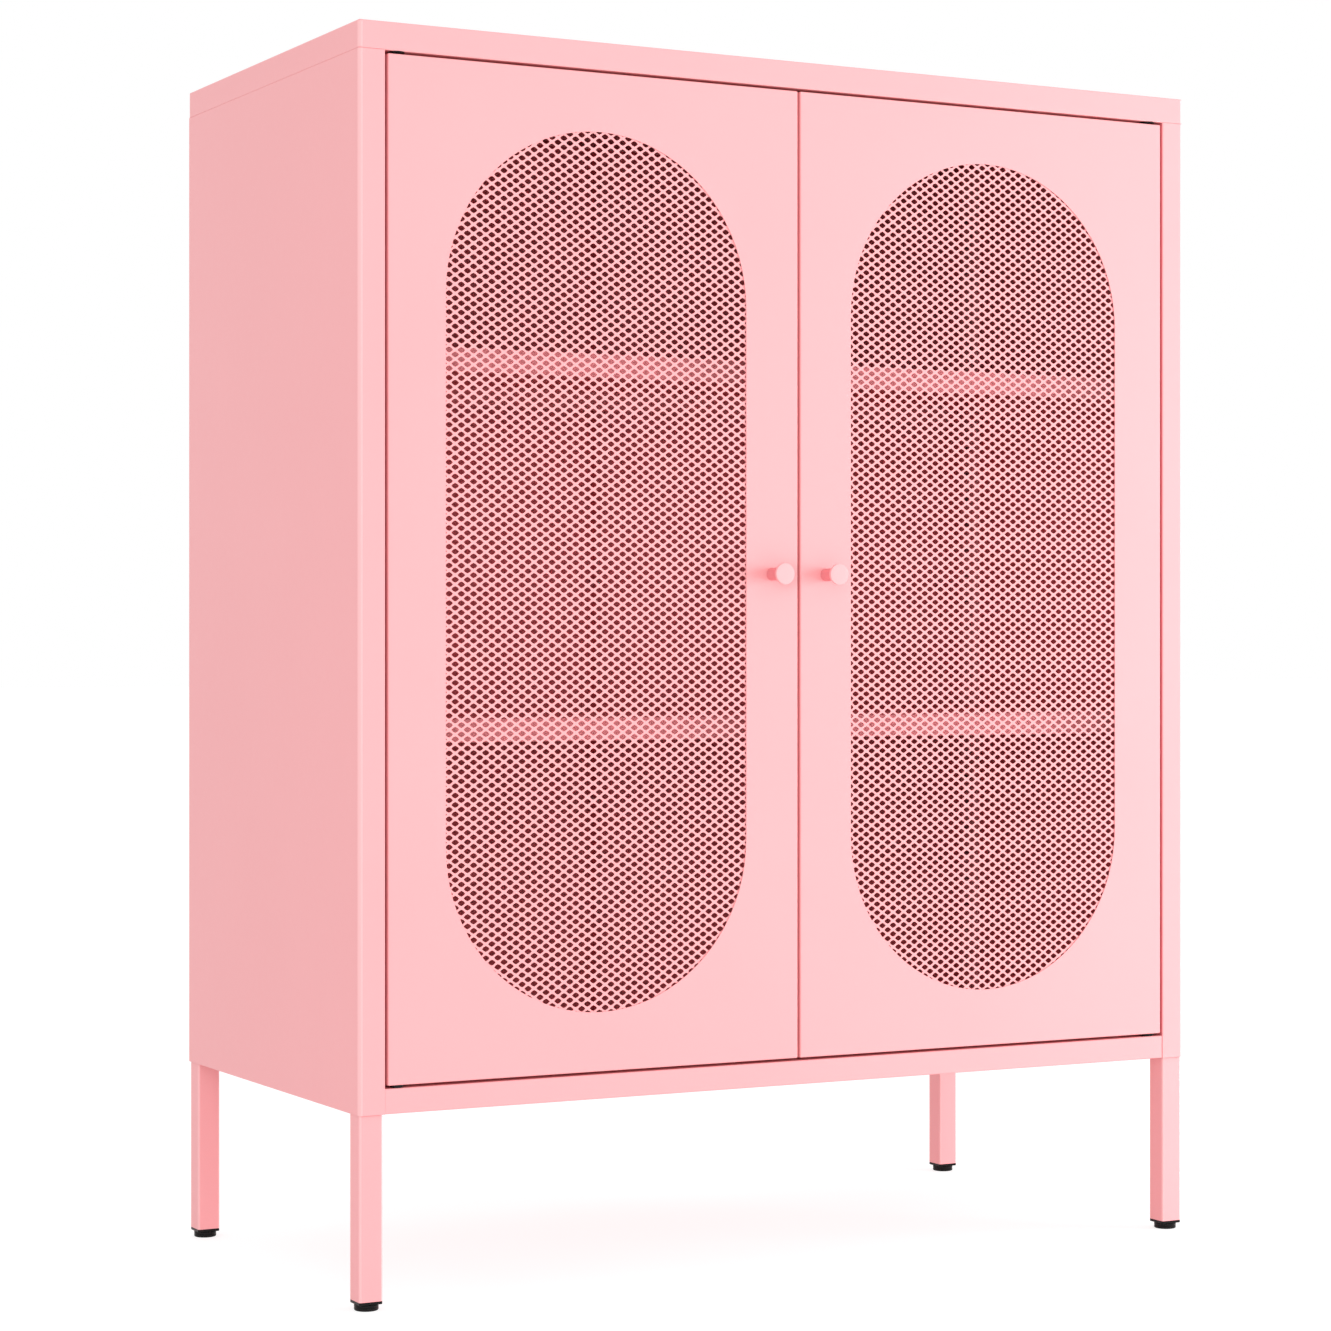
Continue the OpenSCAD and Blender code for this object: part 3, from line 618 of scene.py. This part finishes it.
def back_panel(side):
    """Shallow pan that closes half of the back."""
    low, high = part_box("back_panel_left")
    x, z = (low.x, high.x), (low.z, high.z)
    y = (low.y, high.y)
    faces = [rectangle(x, high.y, z), rectangle(low.x, y, z), rectangle(high.x, y, z),
             rectangle(x, y, low.z), rectangle(x, y, high.z)]
    faces = [mirrored(f, side) for f in faces]
    spot = (side * -(x[0] + x[1]) / 2, high.y, (z[0] + z[1]) / 2)
    return folded_sheet(faces, even_fold, (spot, (0, 1, 0)))


def shelf(node):
    """Tray turned down all round, with a hem under its front fold."""
    low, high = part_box(node)
    hem = low.y + SHELF_HEM
    x, y, z = (low.x, high.x), (low.y, high.y), (low.z, high.z)
    faces = [rectangle(x, y, high.z), rectangle(x, low.y, z), rectangle(x, high.y, z),
             rectangle(low.x, y, z), rectangle(high.x, y, z)]
    top = folded_sheet(faces, even_fold, ((0, 0, high.z), (0, 0, 1)))
    pale = top.attributes[HIGHLIGHT_MASK].data
    # The whole shelf gets the painted inner shade, lifted by a share of the painted highlight
    for face in top.polygons:
        face.material_index = 1
        pale[face.index].value = max(pale[face.index].value, INNER_HIGHLIGHT)
    return join_meshes([top, plate((low.x + SHEET, high.x - SHEET), (low.y + SHEET / 2, hem),
                                   (low.z, low.z + SHEET))])


add_piece("top_cap", top_cap(), "top_panel", "powder_coat")
add_piece("base_tray", base_tray(), "bottom_panel", "powder_coat")
for name, side in SIDES.items():
    add_piece(f"side_shell_{name}", side_panel(side), f"side_panel_{name}", "powder_coat")
    add_piece(f"back_sheet_{name}", back_panel(side), f"back_panel_{name}", "powder_coat")
for level in ("lower", "upper"):
    add_piece(f"shelf_tray_{level}", shelf(f"shelf_{level}"), f"shelf_{level}", "powder_coat")

# ---------- Legs and feet ----------


def leg(node, side, end):
    """Square tube with rounded corners, welded to a mounting plate."""
    low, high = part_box(node)
    cx = low.x + LEG_W / 2 if side < 0 else high.x - LEG_W / 2
    cy = low.y + LEG_W / 2 if end == "front" else high.y - LEG_W / 2
    tube = prism(round_square(cx, cy, LEG_W, LEG_W, LEG_R), low.z, high.z - PLATE_T)
    middle, size = (low + high) / 2, high - low
    mount = prism(round_square(middle.x, middle.y, size.x, size.y, LEG_R), high.z - PLATE_T, high.z)
    # The tube's round corners get the painted highlight
    return join_meshes([mark_corner_highlights(rounded_solid(tube, STEEL_ROUND)), rounded_solid(mount, STEEL_ROUND)])


def end_plug(node):
    """Moulded plug: a rim as wide as the tube and a body inside it."""
    low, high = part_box(node)
    cx, cy = (low.x + high.x) / 2, (low.y + high.y) / 2
    rim_top = low.z + PLUG_RIM
    body_w = LEG_W - 2 * (TUBE_WALL + PLUG_FIT)
    body_r, rim_round = 0.6 * MM, 0.45 * MM
    rim = prism(round_square(cx, cy, LEG_W, LEG_W, LEG_R), low.z, rim_top)
    body = prism(round_square(cx, cy, body_w, body_w, body_r), rim_top, high.z)
    return join_meshes([rounded_solid(rim, rim_round, 3), rounded_solid(body, STEEL_ROUND)])


def foot_pad(node):
    """Moulded round pad with a soft lower edge and a shallow groove round its side."""
    low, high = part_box(node)
    r, h = (high.x - low.x) / 2, high.z - low.z
    sole, groove = 0.3 * MM, r - 0.25 * MM      # height of the sole's middle, and the groove's radius
    neck, well = 4.1 * MM, 1.2 * MM             # radius and depth of the recess round the stud
    low_round, top_round = 1.1 * MM, 0.7 * MM
    profile = [(0, sole), (r - 3.2 * MM, sole), (r - 2.8 * MM, 0)]
    profile += arc(r - low_round, low_round, low_round, -90, 0)
    profile += [(r, h * 0.45), (groove, h * 0.5), (groove, h * 0.56), (r, h * 0.61)]
    profile += arc(r - top_round, h - top_round, top_round, 0, 90)
    profile += [(neck, h), (neck, h - well), (0, h - well)]
    mesh = shade(lathe(profile), 40)
    mesh.transform(Matrix.Translation(((low.x + high.x) / 2, (low.y + high.y) / 2, low.z)))
    return mesh


for end in ENDS:
    for name, side in SIDES.items():
        add_piece(f"leg_tube_{end}_{name}", leg(f"leg_{end}_{name}", side, end),
                  f"leg_{end}_{name}", "powder_coat")
        add_piece(f"tube_plug_{end}_{name}", end_plug(f"end_plug_{end}_{name}"),
                  f"end_plug_{end}_{name}", "black_plastic")
        add_piece(f"floor_pad_{end}_{name}", foot_pad(f"foot_pad_{end}_{name}"),
                  f"foot_pad_{end}_{name}", "black_plastic")

# ---------- Doors ----------


def stadium_loop(cx, cz, w, h, y, steps=40):
    """Round-ended upright outline, counterclockwise seen from the front."""
    r = w / 2
    points = []
    for start, z in ((0, cz + (h - w) / 2), (180, cz - (h - w) / 2)):
        for k in range(steps + 1):
            a = math.radians(start + 180 * k / steps)
            points.append((cx + r * math.cos(a), y, z + r * math.sin(a)))
    return points


def door_pan(side):
    """Folded pan with a rear lip all round and a round-ended window in its face."""
    low, high = door_lo, door_hi
    x, y, z = (low.x, high.x), (low.y, high.y), (low.z, high.z)
    cx, cz = (low.x + high.x) / 2, (low.z + high.z) / 2
    outer = rectangle(x, high.y, z)
    inner = rectangle((low.x + DOOR_LIP, high.x - DOOR_LIP), high.y, (low.z + DOOR_LIP, high.z - DOOR_LIP))
    faces = [rectangle(place, y, z) for place in (low.x, high.x)]
    faces += [rectangle(x, y, place) for place in (low.z, high.z)]
    faces += [[outer[i], outer[(i + 1) % 4], inner[(i + 1) % 4], inner[i]] for i in range(4)]
    faces = [mirrored(f, side) for f in faces]
    window = stadium_loop(cx, cz, WINDOW_W, WINDOW_H, low.y)
    holes = [(mirrored(rectangle(x, low.y, z), side), mirrored(window, side))]
    spot = (side * -low.x, (low.y + high.y) / 2, cz)
    return folded_sheet(faces, even_fold, (spot, (side, 0, 0)), holes=holes)


def inside_stadium(x, z, w, h):
    """How far a point lies inside a round-ended outline centred on the origin."""
    r = w / 2
    reach = max(abs(z) - (h / 2 - r), 0)
    return r - math.hypot(x, reach)


def crossing(a, b, w, h):
    """The point between a, inside the outline, and b, outside it, that lies on it."""
    low, high = 0.0, 1.0
    for _ in range(24):
        middle = (low + high) / 2
        x, z = a[0] + (b[0] - a[0]) * middle, a[1] + (b[1] - a[1]) * middle
        if inside_stadium(x, z, w, h) > 0:
            low = middle
        else:
            high = middle
    return (a[0] + (b[0] - a[0]) * low, a[1] + (b[1] - a[1]) * low)


class SheetMesh:
    """Faces of a flat upright sheet, front and back, that share the points where they meet."""

    def __init__(self, low, high):
        self.centre_x, self.centre_z = (low.x + high.x) / 2, (low.z + high.z) / 2
        self.layers = (low.y, high.y)
        self.verts = []
        self.faces = []
        self.found = {}

    def vertex(self, x, z, layer):
        key = (round(x * 1e7), round(z * 1e7), layer)
        if key not in self.found:
            self.found[key] = len(self.verts)
            self.verts.append((self.centre_x + x, self.layers[layer], self.centre_z + z))
        return self.found[key]

    def both_faces(self, points):
        self.faces.append([self.vertex(x, z, 0) for x, z in points])
        self.faces.append([self.vertex(x, z, 1) for x, z in points][::-1])

    def walls(self, points):
        for a, b in zip(points, points[1:]):
            corners = (a, 1), (b, 1), (b, 0), (a, 0)
            self.faces.append([self.vertex(*point, layer) for point, layer in corners])


def clipped_cell(sheet, tips, depth, w, h):
    """The part of a cell inside the sheet's outline, with the wall along its cut."""
    kept = []
    for k in range(4):
        a, b = tips[k], tips[(k + 1) % 4]
        a_inside, b_inside = depth[k] > 0, depth[(k + 1) % 4] > 0
        if a_inside:
            kept.append(a)
        if a_inside and not b_inside:
            leaving = crossing(a, b, w, h)
            kept.append(leaving)
        if b_inside and not a_inside:
            entering = crossing(b, a, w, h)
            kept.append(entering)
    sheet.both_faces(kept)
    sheet.walls([leaving, entering])


def pierced_cell(sheet, x, z, tips):
    """A cell with its hole, a diamond with blunted sides."""
    corners = [(HOLE_HALF_W, 0), (0, HOLE_HALF_H), (-HOLE_HALF_W, 0), (0, -HOLE_HALF_H)]
    rim = []
    for here, after in zip(corners, corners[1:] + corners[:1]):
        rim.append((x + here[0], z + here[1]))
        rim.append((x + (here[0] + after[0]) * HOLE_ROUND, z + (here[1] + after[1]) * HOLE_ROUND))
    for k in range(4):
        tip, after = tips[k], tips[(k + 1) % 4]
        here, mid, there = rim[2 * k], rim[2 * k + 1], rim[(2 * k + 2) % 8]
        sheet.both_faces([tip, mid, here])
        sheet.both_faces([tip, after, mid])
        sheet.both_faces([after, there, mid])
    sheet.walls(rim + rim[:1])


def perforated_sheet(node, shift):
    """A flat sheet with staggered holes. It is tiled from diamond cells, each with one hole."""
    low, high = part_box(node)
    w, h = high.x - low.x, high.z - low.z
    half_x, half_z = HOLE_PITCH_X / 2, HOLE_PITCH_Z / 2
    columns, rows = int(w / half_x) + 4, int(h / half_z) + 4
    sheet = SheetMesh(low, high)
    for i in range(-columns // 2, columns // 2 + 1):
        for j in range(-rows // 2, rows // 2 + 1):
            if (i + j) % 2:
                continue
            x, z = i * half_x + shift, j * half_z
            tips = [(x + half_x, z), (x, z + half_z), (x - half_x, z), (x, z - half_z)]
            depth = [inside_stadium(*tip, w, h) for tip in tips]
            if max(depth) <= 0:
                continue
            if min(depth) <= 0:
                clipped_cell(sheet, tips, depth, w, h)
            elif inside_stadium(x, z, WINDOW_W, WINDOW_H) < -HOLE_SPREAD:
                sheet.both_faces(tips)
            else:
                pierced_cell(sheet, x, z, tips)
    mesh = bpy.data.meshes.new("perforated")
    mesh.from_pydata(sheet.verts, [], sheet.faces)
    mesh.validate()
    return outward_normals(mesh)


def knob(node):
    """Turned knob: straight stem that flares into a flat head with rounded edges."""
    low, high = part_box(node)
    r, reach = (high.x - low.x) / 2, high.y - low.y
    stem = KNOB_STEM / 2
    back = reach - KNOB_RIM
    edge = 0.6 * MM
    # The stem, its flare towards the head, and the head's back, rim and slightly crowned face
    profile = [(0, 0), (stem, 0), (stem, back - 5.0 * MM), (stem + 0.25 * MM, back - 3.6 * MM)]
    profile += [(stem + 0.9 * MM, back - 2.0 * MM), (r - 1.0 * MM, back - 0.25 * MM)]
    profile.append((r - edge, back + 0.05 * MM))
    profile += arc(r - edge, back + edge + 0.05 * MM, edge, -70, 0, 5)
    profile += arc(r - edge, reach - edge, edge, 0, 86, 8)
    profile += [(r * 0.55, reach - 0.01 * MM), (0, reach)]
    mesh = shade(lathe(profile, 96), 50)
    # Painted highlight on the head; the stem gets the painted inner shade, lifted by a share of the
    # painted highlight
    pale = mesh.attributes.new(HIGHLIGHT_MASK, "FLOAT", "FACE").data
    for face in mesh.polygons:
        stem_side = face.center.z < back
        face.material_index = 1 if stem_side else 0
        pale[face.index].value = INNER_HIGHLIGHT if stem_side else KNOB_HIGHLIGHT
    turn = Matrix.Rotation(math.radians(90), 4, "X")
    mesh.transform(Matrix.Translation(((low.x + high.x) / 2, high.y, (low.z + high.z) / 2)) @ turn)
    return mesh


# How far each sheet's pattern is off its window's middle
LATTICE_SHIFT = {"left": 0.0, "right": 2.0 * MM}
for name, side in SIDES.items():
    add_piece(f"door_pan_{name}", door_pan(side), f"door_{name}", "powder_coat")
    add_piece(f"perforated_sheet_{name}", perforated_sheet(f"mesh_{name}", LATTICE_SHIFT[name]),
              f"mesh_{name}", "powder_coat")
    add_piece(f"turned_knob_{name}", knob(f"knob_{name}"), f"knob_{name}", "powder_coat")

# ---------- Hinge bolt springs ----------


def coil_spring(low, high):
    """Round wire wound upwards, its end coils nearly closed, between two corners of a box."""
    middle = (low + high) / 2
    wire = SPRING_WIRE / 2
    reach = (high.x - low.x) / 2 - wire
    rise = high.z - low.z - 2 * wire
    steps, sides = 40, 12
    closed = END_COIL_RISE / rise
    open_rise = (0.5 - closed) / (SPRING_COILS / 2 - 1)
    verts = []
    for i in range(SPRING_COILS * steps + 1):
        share = i / (SPRING_COILS * steps)
        coils = min(share, 1 - share) * SPRING_COILS
        climb = coils * closed if coils < 1 else closed + (coils - 1) * open_rise
        z = low.z + wire + rise * (climb if share < 0.5 else 1 - climb)
        a = 2 * math.pi * i / steps
        for k in range(sides):
            b = 2 * math.pi * k / sides
            r = reach + wire * math.cos(b)
            verts.append((middle.x + r * math.cos(a), middle.y + r * math.sin(a), z + wire * math.sin(b)))
    faces = [list(range(sides)), list(range(len(verts) - sides, len(verts)))]
    for start in range(0, len(verts) - sides, sides):
        for k in range(sides):
            n = (k + 1) % sides
            faces.append([start + k, start + n, start + sides + n, start + sides + k])
    mesh = bpy.data.meshes.new("spring")
    mesh.from_pydata(verts, [], faces)
    return shade(outward_normals(mesh), 50)


for name in SIDES:
    low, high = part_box(f"bolt_spring_{name}")
    spring = add_piece(f"wound_spring_{name}", coil_spring(low, high),
                       f"bolt_spring_{name}", "zinc_steel")
    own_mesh(spring)

# ---------- Studio ----------


FLOOR_HALF = 40.0           # in metres


def floor():
    """Pale floor, seen as near white and casting back a softer light."""
    mesh = bpy.data.meshes.new("studio_floor")
    span = (-FLOOR_HALF, FLOOR_HALF)
    mesh.from_pydata(rectangle(span, span, 0), [], [(0, 1, 2, 3)])
    plane = bpy.data.objects.new("studio_floor", mesh)
    bpy.context.scene.collection.objects.link(plane)
    material, nodes, links = new_material("pale_floor")
    cast, seen = nodes["Principled BSDF"], nodes.new("ShaderNodeBsdfPrincipled")
    for shader, tone, glow in ((cast, 0.75, 0.17), (seen, 0.3, 0.78)):
        colours = (tone - 0.01,) * 3, (tone + 0.01,) * 3
        links.new(two_tone(nodes, links, noise(nodes, links, 3.0), *colours), shader.inputs["Base Color"])
        shader.inputs["Roughness"].default_value = 0.9
        shader.inputs["Specular IOR Level"].default_value = 0.1
        shader.inputs["Emission Color"].default_value = (1, 1, 1, 1)
        shader.inputs["Emission Strength"].default_value = glow
    mix = nodes.new("ShaderNodeMixShader")
    links.new(nodes.new("ShaderNodeLightPath").outputs["Is Camera Ray"], mix.inputs[0])
    links.new(cast.outputs["BSDF"], mix.inputs[1])
    links.new(seen.outputs["BSDF"], mix.inputs[2])
    links.new(mix.outputs["Shader"], nodes["Material Output"].inputs["Surface"])
    mesh.materials.append(material)


def area_light(name, position, target, size, power):
    """Soft box aimed at a point, too soft to leave a reflection of its own."""
    light = bpy.data.lights.new(name, "AREA")
    light.shape = "RECTANGLE"
    light.size, light.size_y = size
    light.energy = power
    lamp = bpy.data.objects.new(name, light)
    bpy.context.scene.collection.objects.link(lamp)
    lamp.location = position
    lamp.rotation_euler = (Vector(target) - Vector(position)).to_track_quat("-Z", "Y").to_euler()
    lamp.visible_glossy = False


def studio_world(seen, cast):
    """White surroundings, seen as bright white and casting a softer light."""
    world = bpy.data.worlds.new("studio")
    world.use_nodes = True
    nodes, links = world.node_tree.nodes, world.node_tree.links
    nodes["Background"].inputs["Color"].default_value = (1, 1, 1, 1)
    level = nodes.new("ShaderNodeMapRange")
    level.inputs["To Min"].default_value = cast
    level.inputs["To Max"].default_value = seen
    links.new(nodes.new("ShaderNodeLightPath").outputs["Is Camera Ray"], level.inputs["Value"])
    links.new(level.outputs["Result"], nodes["Background"].inputs["Strength"])
    bpy.context.scene.world = world


def camera():
    """Level camera on the cabinet's left, at about half its height."""
    data = bpy.data.cameras.new("camera")
    data.sensor_width = 36.0
    data.lens = 88.13
    data.shift_y = -0.0122
    data.clip_end = 200
    cam = bpy.data.objects.new("camera", data)
    bpy.context.scene.collection.objects.link(cam)
    cam.location = (-1.39127, FRONT - 2.36678, BASE + 0.36642)
    cam.rotation_euler = (math.radians(90), 0, math.radians(-28.1))
    bpy.context.scene.camera = cam


floor()
studio_world(seen=1.0, cast=0.93)
area_light("key_right", position=(2.3, -1.35, 0.62), target=(0, 0, 0.5), size=(1.0, 1.25), power=60)
area_light("front_fill", position=(-1.41, -2.65, 0.9), target=(0, 0, 0.6), size=(1.0, 1.7), power=15)
camera()
bpy.context.scene.view_settings.view_transform = "Standard"
